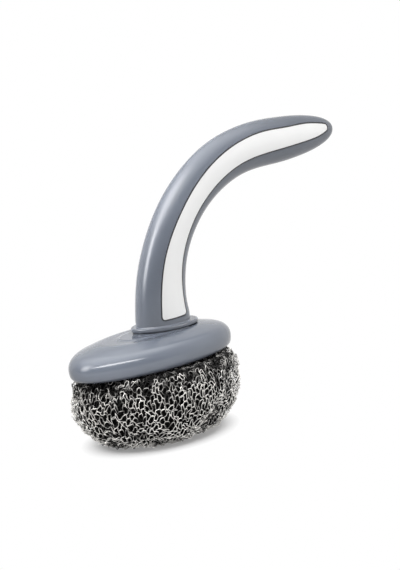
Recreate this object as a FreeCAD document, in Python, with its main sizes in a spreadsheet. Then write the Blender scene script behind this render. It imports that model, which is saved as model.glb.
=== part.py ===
import FreeCAD, Part
import os
import Sketcher
from FreeCAD import Placement, Rotation, Vector

# Pot scrubber: a curved plastic handle screwed to an oval head, and under the head a
# knitted steel pad on a push-in carrier. Millimetres. The origin is on the floor under
# the middle of the pad, +X is the way the handle bends, +Z is up.

doc = FreeCAD.newDocument("pot_scrubber")
sizes = doc.addObject("Spreadsheet::Sheet", "sizes")

DRIVING_SIZES = [
    # Knitted pad: half sizes at its widest ring, that ring's height, the pad's flat top,
    # the rise of its rounding above and below the ring, and how full the rounding is
    ("pad_half_length", 50.3),
    ("pad_half_width", 38.8),
    ("pad_ring_height", 23.5),
    ("pad_height", 42.1),
    ("pad_round_rise", 26.5),
    ("pad_fullness", 2.3),
    # Air around the pieces that part when the pad is pulled off, and around the parts
    # that are buried in the pad
    ("parting_gap", 0.3),
    ("carrier_side_gap", 0.4),
    ("peg_gap", 0.2),
    ("knit_gap", 0.3),
    # Head: half sizes at its widest ring, height from lip to crown, the rolled rim's rise
    # and tuck, the wall, and how full the dome is
    ("head_half_length", 53.2),
    ("head_half_width", 28.0),
    ("head_height", 17.2),
    ("rim_rise", 4.4),
    ("rim_tuck", 3.0),
    ("head_wall", 2.4),
    ("head_fullness", 3.05),
    # Raised seat on the head, and the handle's flange and locating plinth on it, which all
    # slope with the dome by an angle in degrees
    ("foot_centre", 11.3),
    ("foot_slope", 2.6),
    ("flange_half_length", 21.7),
    ("flange_half_width", 12.6),
    ("flange_thickness", 2.3),
    ("flange_edge_round", 0.7),
    ("seat_rise", 0.7),
    ("seat_inset", 0.7),
    ("groove_height", 0.6),
    ("groove_depth", 1.5),
    # Handle: a quarter bend that starts upright over the foot and ends in a level, rounded tip
    ("handle_x", 10.5),
    ("foot_rise", 5.2),
    ("bend_radius", 81.9),
    ("tip_length", 58.5),
    ("tip_fullness", 2.2),
    ("foot_depth", 34.0),
    ("grip_depth", 27.1),
    ("crown_depth", 27.2),
    ("foot_thickness", 22.0),
    ("grip_thickness", 19.6),
    ("crown_thickness", 18.6),
    ("cove_spread", 1.2),
    ("cove_sink", 0.3),
    ("cove_height", 2.4),
    # Inlay window in the handle's sides, as distances from the handle's middle line
    # towards the outside and the inside of the bend
    ("window_foot_rise", 2.2),
    ("window_foot_outer", 8.2),
    ("window_foot_inner", 11.2),
    ("window_grip_outer", 5.5),
    ("window_grip_inner", 6.1),
    ("window_crown_outer", 8.2),
    ("window_crown_inner", 5.5),
    ("window_run_length", 25.0),
    ("window_run_outer", 7.8),
    ("window_run_inner", 4.1),
    ("window_end_outer", 4.2),
    ("window_end_inner", 0.4),
    ("window_end_margin", 7.2),
    ("window_corner", 2.4),
    ("inlay_thickness", 2.2),
    ("inlay_bed_gap", 0.1),
    ("inlay_side_gap", 0.45),
    ("inlay_peg_radius", 1.6),
    ("inlay_peg_depth", 3.0),
    ("inlay_boss_wall", 1.5),
    # Hollows behind the inlays
    ("ledge_width", 1.8),
    ("web_thickness", 3.0),
    ("rib_thickness", 1.6),
    # Handle pegs in the head's sockets, and their screws
    ("foot_peg_pitch", 20.0),
    ("foot_peg_radius", 4.0),
    ("foot_peg_length", 6.0),
    ("foot_peg_gap", 0.15),
    ("socket_wall", 2.0),
    ("socket_floor", 2.2),
    ("screw_core_radius", 1.6),
    ("screw_bite", 0.2),
    ("screw_head_radius", 3.2),
    ("screw_head_height", 2.0),
    ("screw_crown_radius", 2.2),
    ("screw_tip_length", 2.5),
    ("screw_hole_gap", 0.3),
    ("recess_reach", 1.9),
    ("recess_width", 0.9),
    ("recess_depth", 1.1),
    ("handle_screw_length", 16.0),
    ("clamp_screw_length", 11.0),
    ("pilot_spare", 1.0),
    # Pad carrier with split push-in pegs above and posts below, and the clamp on the posts
    ("carrier_thickness", 2.4),
    ("split_peg_pitch", 76.0),
    ("split_peg_radius", 3.0),
    ("split_peg_length", 8.0),
    ("split_peg_slit", 1.0),
    ("post_pitch", 40.0),
    ("post_radius", 4.5),
    ("post_length", 13.0),
    ("clamp_half_length", 30.0),
    ("clamp_half_width", 9.0),
    ("clamp_thickness", 2.6),
]
for row, (alias, value) in enumerate(DRIVING_SIZES, start=1):
    sizes.set(f"A{row}", alias)
    sizes.set(f"B{row}", str(value))
    sizes.setAlias(f"B{row}", alias)
doc.recompute()


def size(alias):
    """The number in a cell of the sheet."""
    return float(sizes.get(alias))


# Heights that several pieces share, as expressions on the sheet's cells
LIP = "(sizes.pad_height + sizes.parting_gap)"
RING = f"({LIP} + sizes.rim_rise)"
CROWN = f"({LIP} + sizes.head_height)"
SEAT = f"({CROWN} + sizes.seat_rise)"
FLANGE_BASE = f"({SEAT} + sizes.groove_height)"
FLANGE_TOP = f"({FLANGE_BASE} + sizes.flange_thickness)"
BEND_START = f"({FLANGE_TOP} + sizes.foot_rise)"
SOCKET_BED = f"({SEAT} - sizes.foot_peg_length - sizes.foot_peg_gap)"
SOCKET_BASE = f"({SOCKET_BED} - sizes.socket_floor)"
CARRIER_TOP = "(sizes.pad_height + sizes.carrier_thickness)"
POST_END = "(sizes.pad_height - sizes.post_length)"
CLAMP_BASE = f"({POST_END} - sizes.clamp_thickness)"
THREAD_RADIUS = "(sizes.screw_core_radius - sizes.screw_bite)"
HOLE_RADIUS = "(sizes.screw_core_radius + sizes.screw_hole_gap)"


# Drawing helpers: each makes one object and binds its sizes to the sheet

def bound(kind, name, **expressions):
    """An object of the given kind; a double underscore in a key stands for a dot."""
    made = doc.addObject(kind, name)
    for key, expression in expressions.items():
        made.setExpression(key.replace("__", "."), expression)
    return made


def place(made, x="0", y="0", z="0", turn=None):
    """Turn an object about its own origin, then bind that origin's place."""
    if turn is not None:
        made.Placement = Placement(Vector(), turn)
    for axis, expression in zip("xyz", (x, y, z)):
        made.setExpression(f"Placement.Base.{axis}", expression)
    return made


def oval(name, half_x, half_y, x="0", z="0", turn=None):
    ring = bound("Part::Ellipse", name, MajorRadius=half_x, MinorRadius=half_y)
    return place(ring, x=x, z=z, turn=turn)


SURFACE_DEGREE = 3


def loft(name, sections):
    """A smooth solid through closed sections."""
    made = doc.addObject("Part::Loft", name)
    made.Sections = sections
    made.Solid = True
    made.MaxDegree = SURFACE_DEGREE
    return made


def oval_block(name, half_x, half_y, x, z, height, turn=Rotation()):
    """A block of oval section from z up, upright unless it is turned."""
    made = bound("Part::Extrusion", name, LengthFwd=height)
    made.Base = oval(f"{name}_outline", half_x, half_y, x, z, turn)
    made.DirMode = "Custom"
    made.Dir = turn.multVec(Vector(0, 0, 1))
    made.Solid = True
    return made


def rod(name, radius, height, x="0", y="0", z="0", turn=None):
    made = bound("Part::Cylinder", name, Radius=radius, Height=height)
    return place(made, x=x, y=y, z=z, turn=turn)


def fuse(name, shapes):
    made = doc.addObject("Part::MultiFuse", name)
    made.Shapes = shapes
    return made


def cut(name, base, tool):
    made = doc.addObject("Part::Cut", name)
    made.Base = base
    made.Tool = tool
    return made


def common(name, shapes):
    made = doc.addObject("Part::MultiCommon", name)
    made.Shapes = shapes
    return made


def round_edges(name, base, radius, wanted):
    """Round the edges of base that wanted(edge) picks."""
    doc.recompute()
    made = doc.addObject("Part::Fillet", name)
    made.Base = base
    edges = enumerate(base.Shape.Edges, start=1)
    made.Edges = [(number, radius, radius) for number, edge in edges if wanted(edge)]
    return made


def pair_at(pitch, centre="0"):
    """The two places half a pitch to either side of a centre along X."""
    return [f"{centre} - {pitch} / 2", f"{centre} + {pitch} / 2"]


# Handle: oval sections along a quarter bend and a level, rounded tip

BEND_STATIONS = [0, 10, 20, 32, 45, 58, 72, 90]
TIP_STATIONS = [0.22, 0.44, 0.62, 0.77, 0.88, 0.95, 0.985, 0.998]
GRIP_ANGLE = 45


def along_bend(angle, foot, grip, crown):
    """A size that runs from foot to grip in a soft curve, and on to the crown of the bend."""
    if angle <= GRIP_ANGLE:
        share = (1 - angle / GRIP_ANGLE) ** 2
        return f"sizes.{grip} + (sizes.{foot} - sizes.{grip}) * {share}"
    share = (angle - GRIP_ANGLE) / GRIP_ANGLE
    return f"sizes.{grip} + (sizes.{crown} - sizes.{grip}) * {share}"


def bend_x(angle, outward="0"):
    return f"sizes.handle_x + sizes.bend_radius - (sizes.bend_radius + {outward}) * cos({angle} deg)"


def bend_z(angle, outward="0"):
    return f"{BEND_START} + (sizes.bend_radius + {outward}) * sin({angle} deg)"


def tilt(angle):
    return Rotation(Vector(0, 1, 0), angle)


def handle_form(name, pared="0"):
    """The handle's outer form, with a depth pared off each of its two flat sides."""
    def half_sizes(angle):
        depth = along_bend(angle, "foot_depth", "grip_depth", "crown_depth")
        thickness = along_bend(angle, "foot_thickness", "grip_thickness", "crown_thickness")
        return f"({depth}) / 2", f"({thickness}) / 2 - ({pared})"

    stub = oval(f"{name}_stub", *half_sizes(0), x="sizes.handle_x", z=FLANGE_BASE)
    rings = [
        oval(f"{name}_ring_{angle}", *half_sizes(angle), x=bend_x(angle), z=bend_z(angle), turn=tilt(angle))
        for angle in BEND_STATIONS
    ]
    half_depth, half_thickness = half_sizes(90)
    for share in TIP_STATIONS:
        ratio = f"pow(1 - pow({share}; sizes.tip_fullness); 1 / sizes.tip_fullness)"
        rings.append(oval(f"{name}_tip_{len(rings)}", f"{half_depth} * {ratio}",
                          f"({half_thickness}) * {ratio}", x=f"{bend_x(90)} + sizes.tip_length * {share}",
                          z=bend_z(90), turn=tilt(90)))
    return loft(name, [stub] + rings)


WINDOW_STATIONS = [14, 28, 45, 60, 75, 90]
RUN_STATIONS = [0.5, 1.0]
END_STATIONS = [0.55, 0.85, 1.0]
WINDOW_REACH = "sizes.foot_thickness"


def window_bar(name, inset, corner):
    """A bar right across the handle with the window's outline, drawn in by an inset."""
    def section(label, outer, inner, x, z, turn):
        plate = bound("Part::Plane", f"{name}_{label}", Length=f"{outer} + {inner} - 2 * ({inset})",
                      Width=f"2 * {WINDOW_REACH}")
        return place(plate, x=x, y=f"-{WINDOW_REACH}", z=z, turn=turn)

    foot_outer = "sizes.window_foot_outer"
    foot_x = f"sizes.handle_x - {foot_outer} + {inset}"
    foot_z = f"{FLANGE_TOP} + sizes.window_foot_rise + {inset}"
    sections = [section("foot", foot_outer, "sizes.window_foot_inner", foot_x, foot_z, tilt(0))]
    for angle in WINDOW_STATIONS:
        outer = along_bend(angle, "window_foot_outer", "window_grip_outer", "window_crown_outer")
        inner = along_bend(angle, "window_foot_inner", "window_grip_inner", "window_crown_inner")
        shift = f"({outer} - {inset})"
        sections.append(section(f"bend_{angle}", outer, inner, bend_x(angle, shift),
                                bend_z(angle, shift), tilt(angle)))
    run_end = "sizes.window_run_length"
    window_end = f"(sizes.tip_length - sizes.window_end_margin - ({inset}))"
    level = []
    for share in RUN_STATIONS:
        outer = f"sizes.window_crown_outer + (sizes.window_run_outer - sizes.window_crown_outer) * {share}"
        inner = f"sizes.window_crown_inner + (sizes.window_run_inner - sizes.window_crown_inner) * {share}"
        level.append((f"run_{share}", outer, inner, f"{run_end} * {share}"))
    for share in END_STATIONS:
        narrowing = share ** 2
        outer = f"sizes.window_run_outer + (sizes.window_end_outer - sizes.window_run_outer) * {narrowing}"
        inner = f"sizes.window_run_inner + (sizes.window_end_inner - sizes.window_run_inner) * {narrowing}"
        level.append((f"end_{share}", outer, inner, f"{run_end} + ({window_end} - {run_end}) * {share}"))
    for label, outer, inner, along in level:
        sections.append(section(label.replace(".", "_"), outer, inner, f"{bend_x(90)} + {along}",
                                bend_z(90, f"({outer} - {inset})"), tilt(90)))
    bar = loft(f"{name}_bar", sections)
    if corner <= 0:
        return bar

    def is_cross_edge(edge):
        first, last = edge.Vertexes[0].Point, edge.Vertexes[-1].Point
        return abs((last - first).normalize().y) > 0.99

    return round_edges(name, bar, corner, is_cross_edge)


outer_form = handle_form("handle_outer")
bed_form = handle_form("inlay_bed", "sizes.inlay_thickness + sizes.inlay_bed_gap")
back_form = handle_form("inlay_back", "sizes.inlay_thickness")
window = window_bar("window", "0", size("window_corner"))
panel = window_bar("panel", "sizes.inlay_side_gap", size("window_corner") - size("inlay_side_gap"))
hollow_bar = window_bar("hollow", "sizes.ledge_width", 0)

# Foot of the handle: a cove that spreads on to the flange, the plinth under it, two pegs.
# The heights of the flange and its seat are those at the flange's outer end

FOOT_TURN = tilt(size("foot_slope"))


def sloped(height, x):
    """A height at the flange's outer end, followed down the foot's slope to a place along X."""
    run = f"({x} - sizes.foot_centre + sizes.flange_half_length)"
    return f"({height} - {run} * tan(sizes.foot_slope * 1 deg))"


COVE_STATIONS = [0, 0.25, 0.55, 1.0]
cove_rings = []
for share in COVE_STATIONS:
    hollowness = 1 - (1 - (1 - share) ** 2) ** 0.5
    spread = f"(sizes.cove_spread + sizes.cove_sink) * {hollowness} - sizes.cove_sink"
    rise = f"sizes.cove_height * {share} - sizes.cove_sink * {1 - share}"
    cove_rings.append(oval(f"cove_ring_{len(cove_rings)}", f"sizes.foot_depth / 2 + {spread}",
                           f"sizes.foot_thickness / 2 + {spread}", x="sizes.handle_x",
                           z=sloped(f"{FLANGE_TOP} + {rise}", "sizes.handle_x"), turn=FOOT_TURN))
cove = loft("foot_cove", cove_rings)
flange_block = oval_block("flange_block", "sizes.flange_half_length", "sizes.flange_half_width",
                          "sizes.foot_centre", sloped(FLANGE_BASE, "sizes.foot_centre"),
                          "sizes.flange_thickness", FOOT_TURN)
flange = round_edges("flange", flange_block, size("flange_edge_round"), lambda edge: edge.isClosed())
PLINTH_HALF_X = "sizes.flange_half_length - sizes.groove_depth"
PLINTH_HALF_Y = "sizes.flange_half_width - sizes.groove_depth"
plinth = oval_block("plinth", PLINTH_HALF_X, PLINTH_HALF_Y, "sizes.foot_centre",
                    sloped(SEAT, "sizes.foot_centre"), "sizes.groove_height + sizes.flange_thickness / 2",
                    FOOT_TURN)
foot_pegs = []
pilots = []
for place_x in pair_at("sizes.foot_peg_pitch", "sizes.foot_centre"):
    number = len(foot_pegs)
    foot_pegs.append(rod(f"foot_peg_{number}", "sizes.foot_peg_radius",
                         "sizes.foot_peg_length + sizes.groove_height",
                         x=place_x, z=f"{SEAT} - sizes.foot_peg_length"))
    pilots.append(rod(f"foot_pilot_{number}", THREAD_RADIUS,
                      "sizes.handle_screw_length - sizes.socket_floor + sizes.pilot_spare",
                      x=place_x, z=SOCKET_BED))

# Hollows behind the inlays, either side of a middle web, with ribs and bosses across them

ACROSS = Rotation(Vector(1, 0, 0), -90)
RIB_ANGLES = [30, 60]
BOSS_ANGLES = [14, 45, 78]
BOSS_RADIUS = "(sizes.inlay_peg_radius + sizes.peg_gap / 2 + sizes.inlay_boss_wall)"
LONGEST_REACH = "(sizes.foot_depth)"


def crossing(name, angle, radius, start_y, length):
    """A rod along Y through the middle of the window at an angle of the bend."""
    outer = along_bend(angle, "window_foot_outer", "window_grip_outer", "window_crown_outer")
    inner = along_bend(angle, "window_foot_inner", "window_grip_inner", "window_crown_inner")
    middle = f"(({outer} - ({inner})) / 2)"
    return rod(name, radius, length, x=bend_x(angle, middle), y=start_y, z=bend_z(angle, middle), turn=ACROSS)


web = bound("Part::Box", "middle_web", Length="2 * (sizes.bend_radius + sizes.tip_length)",
            Width="sizes.web_thickness", Height="2 * (sizes.bend_radius + sizes.tip_length)")
place(web, x="sizes.handle_x - sizes.foot_depth", y="-sizes.web_thickness / 2", z=SEAT)
stiffeners = [web]
for angle in RIB_ANGLES:
    rib = bound("Part::Box", f"rib_{angle}", Length=LONGEST_REACH, Width=f"2 * {WINDOW_REACH}",
                Height="sizes.rib_thickness")
    reach = f"({LONGEST_REACH} / 2)"
    stiffeners.append(place(rib, x=bend_x(angle, reach), y=f"-{WINDOW_REACH}",
                            z=bend_z(angle, reach), turn=tilt(angle)))
for angle in BOSS_ANGLES:
    stiffeners.append(crossing(f"boss_{angle}", angle, BOSS_RADIUS, f"-{WINDOW_REACH}",
                               f"2 * {WINDOW_REACH}"))
hollows = cut("hollows", hollow_bar, fuse("stiffeners", stiffeners))

BED_DEPTH = "(sizes.foot_thickness / 2)"
peg_bores = []
for angle in BOSS_ANGLES:
    bore_radius = "sizes.inlay_peg_radius + sizes.peg_gap / 2"
    peg_bores.append(crossing(f"left_bore_{angle}", angle, bore_radius,
                              "-sizes.web_thickness / 2 - " + BED_DEPTH, BED_DEPTH))
    peg_bores.append(crossing(f"right_bore_{angle}", angle, bore_radius,
                              "sizes.web_thickness / 2", BED_DEPTH))

handle_solid = fuse("handle_solid", [outer_form, cove, flange, plinth] + foot_pegs)
handle_voids = fuse("handle_voids", [cut("inlay_recess", window, bed_form), hollows] + pilots + peg_bores)
handle_body = cut("handle_body", handle_solid, handle_voids)

# Inlays: the window's panel between the handle's outer form and its own back, with pegs

panel_skin = cut("panel_skin", common("panel_in_form", [outer_form, panel]), back_form)
HALF_SPACE_REACH = "2 * (sizes.bend_radius + sizes.tip_length)"


def inlay(name, side):
    """One side's panel, side -1 or +1 along Y, with a peg at each boss."""
    half = bound("Part::Box", f"{name}_side", Length=HALF_SPACE_REACH, Width=WINDOW_REACH,
                 Height=HALF_SPACE_REACH)
    half_start = f"-{WINDOW_REACH}" if side < 0 else "0"
    place(half, x="sizes.handle_x - sizes.foot_depth", y=half_start, z=SEAT)
    skin = common(f"{name}_skin", [panel_skin, half])
    pegs = []
    for angle in BOSS_ANGLES:
        thickness = along_bend(angle, "foot_thickness", "grip_thickness", "crown_thickness")
        back = f"(({thickness}) / 2 - sizes.inlay_thickness)"
        length = "(sizes.inlay_peg_depth + sizes.inlay_thickness / 2)"
        start = f"-{back} - sizes.inlay_thickness / 2" if side < 0 else f"{back} - sizes.inlay_peg_depth"
        pegs.append(crossing(f"{name}_peg_{angle}", angle, "sizes.inlay_peg_radius", start, length))
    return fuse(name, [skin] + pegs)


left_inlay = inlay("left_inlay", -1)
right_inlay = inlay("right_inlay", +1)

# Head shell: a hollow oval dome with a rolled rim, a seat on top and sockets inside

RIM_STATIONS = [0, 0.25, 0.6]
DOME_STATIONS = [0, 0.28, 0.52, 0.72, 0.86, 0.945, 0.985]


def dome(name, pared, drop):
    """The head's outer form, pared in from its sides and top, its lip lowered by a drop."""
    rings = []
    half_x = f"(sizes.head_half_length - {pared})"
    half_y = f"(sizes.head_half_width - {pared})"
    for share in RIM_STATIONS:
        tuck = f"sizes.rim_tuck * {1 - (1 - (1 - share) ** 2) ** 0.5}"
        rings.append(oval(f"{name}_rim_{len(rings)}", f"{half_x} - {tuck}", f"{half_y} - {tuck}",
                          z=f"{LIP} - {drop} * {1 - share} + sizes.rim_rise * {share}"))
    for rise in DOME_STATIONS:
        ratio = f"pow(1 - pow({rise}; sizes.head_fullness); 1 / sizes.head_fullness)"
        rings.append(oval(f"{name}_dome_{len(rings)}", f"{half_x} * {ratio}", f"{half_y} * {ratio}",
                          z=f"{RING} + (sizes.head_height - sizes.rim_rise - {pared}) * {rise}"))
    return loft(name, rings)


head_outer = dome("head_outer", "0", "0")
head_inner = dome("head_inner", "sizes.head_wall", "sizes.parting_gap")
seat_block = oval_block("seat_block", "sizes.flange_half_length - sizes.seat_inset",
                        "sizes.flange_half_width - sizes.seat_inset", "sizes.foot_centre",
                        sloped(f"{CROWN} - sizes.head_wall", "sizes.foot_centre"),
                        "sizes.seat_rise + sizes.head_wall", FOOT_TURN)
seat_recess = oval_block("seat_recess", f"{PLINTH_HALF_X} + sizes.foot_peg_gap",
                         f"{PLINTH_HALF_Y} + sizes.foot_peg_gap", "sizes.foot_centre",
                         sloped(SEAT, "sizes.foot_centre"), "sizes.head_height", FOOT_TURN)
tubes = []
tube_bores = []
for place_x in pair_at("sizes.foot_peg_pitch", "sizes.foot_centre"):
    number = len(tubes)
    bore = "sizes.foot_peg_radius + sizes.foot_peg_gap"
    tubes.append(rod(f"screw_socket_{number}", f"{bore} + sizes.socket_wall", f"{CROWN} - {SOCKET_BASE}",
                     x=place_x, z=SOCKET_BASE))
    tube_bores.append(rod(f"screw_socket_bore_{number}", bore, "2 * sizes.foot_peg_length",
                          x=place_x, z=SOCKET_BED))
    tube_bores.append(rod(f"screw_hole_{number}", HOLE_RADIUS, "2 * sizes.socket_floor",
                          x=place_x, z=f"{SOCKET_BASE} - sizes.socket_floor / 2"))
for place_x in pair_at("sizes.split_peg_pitch"):
    number = len(tubes)
    bore = "sizes.split_peg_radius + sizes.peg_gap"
    base = f"{CARRIER_TOP} + sizes.parting_gap"
    tubes.append(rod(f"peg_socket_{number}", f"{bore} + sizes.socket_wall", f"{CROWN} - ({base})",
                     x=place_x, z=base))
    tube_bores.append(rod(f"peg_socket_bore_{number}", bore, "sizes.split_peg_length + sizes.parting_gap",
                          x=place_x, z=CARRIER_TOP))
inner_tubes = common("inner_tubes", [head_outer, fuse("tubes", tubes)])
head_hollow = cut("head_hollow", fuse("head_with_seat", [head_outer, seat_block]), head_inner)
head_solid = fuse("head_solid", [head_hollow, inner_tubes])
head_shell = cut("head_shell", head_solid, fuse("head_voids", tube_bores + [seat_recess]))

# Pad carrier: an oval plate with split pegs above it and drilled posts below it

CARRIER_HALF_X = "sizes.head_half_length - sizes.rim_tuck - sizes.head_wall - sizes.carrier_side_gap"
CARRIER_HALF_Y = "sizes.head_half_width - sizes.rim_tuck - sizes.head_wall - sizes.carrier_side_gap"
carrier_plate = oval_block("carrier_plate", CARRIER_HALF_X, CARRIER_HALF_Y, "0", "sizes.pad_height",
                           "sizes.carrier_thickness")
carrier_solids = [carrier_plate]
carrier_voids = []
for place_x in pair_at("sizes.split_peg_pitch"):
    number = len(carrier_solids)
    carrier_solids.append(rod(f"split_peg_{number}", "sizes.split_peg_radius",
                              "sizes.split_peg_length + sizes.carrier_thickness / 2",
                              x=place_x, z=f"{CARRIER_TOP} - sizes.carrier_thickness / 2"))
    slit = bound("Part::Box", f"split_peg_slit_{number}", Length="sizes.split_peg_slit",
                 Width="4 * sizes.split_peg_radius", Height="sizes.split_peg_length")
    carrier_voids.append(place(slit, x=f"{place_x} - sizes.split_peg_slit / 2",
                               y="-2 * sizes.split_peg_radius", z=f"{CARRIER_TOP} + sizes.split_peg_slit"))
for place_x in pair_at("sizes.post_pitch"):
    number = len(carrier_solids)
    carrier_solids.append(rod(f"post_{number}", "sizes.post_radius",
                              "sizes.post_length + sizes.carrier_thickness / 2", x=place_x, z=POST_END))
    carrier_voids.append(rod(f"post_pilot_{number}", THREAD_RADIUS,
                             "sizes.clamp_screw_length - sizes.clamp_thickness + sizes.pilot_spare",
                             x=place_x, z=POST_END))
pad_carrier = cut("pad_carrier", fuse("carrier_solid", carrier_solids), fuse("carrier_voids", carrier_voids))

# Sketch helpers for the pieces that are turned or pressed from one profile


def sketch_on(body, role, name, height=None):
    """A sketch on one of the body's own origin planes, raised along that plane's normal."""
    plane = next(item for item in body.Origin.OriginFeatures if item.Role == role)
    sketch = body.newObject("Sketcher::SketchObject", name)
    sketch.AttachmentSupport = [(plane, "")]
    sketch.MapMode = "FlatFace"
    if height is not None:
        sketch.setExpression("AttachmentOffset.Base.z", height)
    return sketch


def closed_profile(sketch, corners):
    """Straight lines through corners given as pairs of expressions; "0" lies on an axis."""
    count = len(corners)
    values = [[doc_value(text) for text in corner] for corner in corners]
    points = [Vector(x, y, 0) for x, y in values]
    for index, start in enumerate(points):
        sketch.addGeometry(Part.LineSegment(start, points[(index + 1) % count]))
    for index in range(count):
        sketch.addConstraint(Sketcher.Constraint("Coincident", index, 2, (index + 1) % count, 1))
    for index, (x_text, y_text) in enumerate(corners):
        for kind, axis, text, value in (("DistanceX", -2, x_text, values[index][0]),
                                        ("DistanceY", -1, y_text, values[index][1])):
            if text == "0":
                sketch.addConstraint(Sketcher.Constraint("PointOnObject", index, 1, axis))
                continue
            number = sketch.addConstraint(Sketcher.Constraint(kind, -1, 1, index, 1, value))
            sketch.setExpression(f"Constraints[{number}]", text)


def doc_value(text):
    """An expression's present value, read through the sheet."""
    result = sizes.evalExpression(text)
    return float(result)


def screw_pair(node, centre, pitch, bearing, length):
    """Two self-tapping screws, heads down, whose heads bear at one height."""
    body = doc.addObject("PartDesign::Body", f"{node}_left")
    turned = sketch_on(body, "XZ_Plane", f"{node}_profile")
    closed_profile(turned, [
        ("0", length),
        ("sizes.screw_core_radius", f"{length} - sizes.screw_tip_length"),
        ("sizes.screw_core_radius", "0"),
        ("sizes.screw_head_radius", "0"),
        ("sizes.screw_head_radius", "-sizes.screw_head_height / 2"),
        ("sizes.screw_crown_radius", "-sizes.screw_head_height"),
        ("0", "-sizes.screw_head_height"),
    ])
    revolution = body.newObject("PartDesign::Revolution", f"{node}_turned")
    revolution.Profile = turned
    revolution.ReferenceAxis = (turned, ["V_Axis"])
    revolution.Angle = 360
    doc.recompute()
    whole = revolution.Shape.Volume
    reach, half = "sizes.recess_reach", "sizes.recess_width / 2"
    cross = sketch_on(body, "XY_Plane", f"{node}_cross", "-sizes.screw_head_height")
    closed_profile(cross, [
        (reach, f"-{half}"), (reach, half), (half, half), (half, reach),
        (f"-{half}", reach), (f"-{half}", half), (f"-{reach}", half), (f"-{reach}", f"-{half}"),
        (f"-{half}", f"-{half}"), (f"-{half}", f"-{reach}"), (half, f"-{reach}"), (half, f"-{half}"),
    ])
    recess = body.newObject("PartDesign::Pocket", f"{node}_recess")
    recess.Profile = cross
    recess.Reversed = True
    recess.setExpression("Length", "sizes.recess_depth")
    doc.recompute()
    if recess.Shape.Volume >= whole:
        raise RuntimeError(f"{node}: the cross recess cuts nothing")
    first, second = pair_at(pitch, centre)
    place(body, x=first, z=bearing)
    mirrored = doc.addObject("Part::Mirroring", f"{node}_right")
    mirrored.Source = body
    mirrored.Normal = Vector(1, 0, 0)
    mirrored.setExpression("Base.x", centre)
    pair = doc.addObject("Part::Compound", node)
    pair.Links = [body, mirrored]
    return pair


handle_screws = screw_pair("handle_screws", "sizes.foot_centre", "sizes.foot_peg_pitch", SOCKET_BASE,
                           "sizes.handle_screw_length")
clamp_screws = screw_pair("clamp_screws", "0", "sizes.post_pitch", CLAMP_BASE, "sizes.clamp_screw_length")

# Pad clamp: an oval bar with a hole for each clamp screw

clamp_bar = oval_block("clamp_bar", "sizes.clamp_half_length", "sizes.clamp_half_width", "0", CLAMP_BASE,
                       "sizes.clamp_thickness")
clamp_holes = []
for place_x in pair_at("sizes.post_pitch"):
    clamp_holes.append(rod(f"clamp_hole_{len(clamp_holes)}", HOLE_RADIUS, "2 * sizes.clamp_thickness",
                           x=place_x, z=f"{CLAMP_BASE} - sizes.clamp_thickness / 2"))
pad_clamp = cut("pad_clamp", clamp_bar, fuse("clamp_holes", clamp_holes))

# Scourer pad: a bulging oval cushion of knit, flat where it stands and under the carrier,
# parted around the posts, the clamp and the screw heads that are buried in it

PAD_STATIONS = [0, 0.1, 0.28, 0.58, 1.0]
PAD_UPPER_STATIONS = [0.45, 0.8, 1.0]


def pad_ring(height):
    """The knit's oval outline at a height."""
    offset = f"abs({height} - sizes.pad_ring_height) / sizes.pad_round_rise"
    ratio = f"pow(1 - pow({offset}; sizes.pad_fullness); 1 / sizes.pad_fullness)"
    return f"sizes.pad_half_length * {ratio}", f"sizes.pad_half_width * {ratio}"


pad_heights = [f"(sizes.pad_ring_height * {share})" for share in PAD_STATIONS]
pad_heights += [f"(sizes.pad_ring_height + (sizes.pad_height - sizes.pad_ring_height) * {share})"
                for share in PAD_UPPER_STATIONS]
pad_rings = [oval(f"pad_ring_{number}", *pad_ring(height), z=height)
             for number, height in enumerate(pad_heights)]
buried = [oval_block("clamp_space", "sizes.clamp_half_length + sizes.knit_gap",
                     "sizes.clamp_half_width + sizes.knit_gap", "0", f"{CLAMP_BASE} - sizes.knit_gap",
                     "sizes.clamp_thickness + 2 * sizes.knit_gap")]
for place_x in pair_at("sizes.post_pitch"):
    number = len(buried)
    buried.append(rod(f"post_space_{number}", "sizes.post_radius + sizes.knit_gap", "2 * sizes.post_length",
                      x=place_x, z=POST_END))
    buried.append(rod(f"screw_head_space_{number}", "sizes.screw_head_radius + sizes.knit_gap",
                      "sizes.screw_head_height + sizes.knit_gap + sizes.clamp_thickness", x=place_x,
                      z=f"{CLAMP_BASE} - sizes.screw_head_height - sizes.knit_gap"))
scourer_pad = cut("scourer_pad", loft("pad_form", pad_rings), fuse("buried_space", buried))

# Check every object, then write each piece

doc.recompute()
failed = [item.Name for item in doc.Objects if {"Invalid", "Error"} & set(item.State)]
if failed:
    raise RuntimeError(f"objects that did not build: {failed}")
pieces = [handle_body, left_inlay, right_inlay, head_shell, handle_screws, pad_carrier, pad_clamp,
          clamp_screws, scourer_pad]
for piece in pieces:
    piece.Label = piece.Name
    shape = piece.Shape
    if shape.isNull() or not shape.isValid():
        raise RuntimeError(f"{piece.Label}: the shape is not valid")
os.makedirs("parts", exist_ok=True)
for piece in pieces:
    shape = piece.Shape
    shape.exportStep(os.path.join("parts", f"{piece.Label}.step"))
    print(f"{piece.Label}: {len(shape.Solids)} solids, {shape.Volume / 1000:.2f} cm3")
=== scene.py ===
import math

import bpy
import numpy as np
from mathutils import Matrix, Vector


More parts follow.
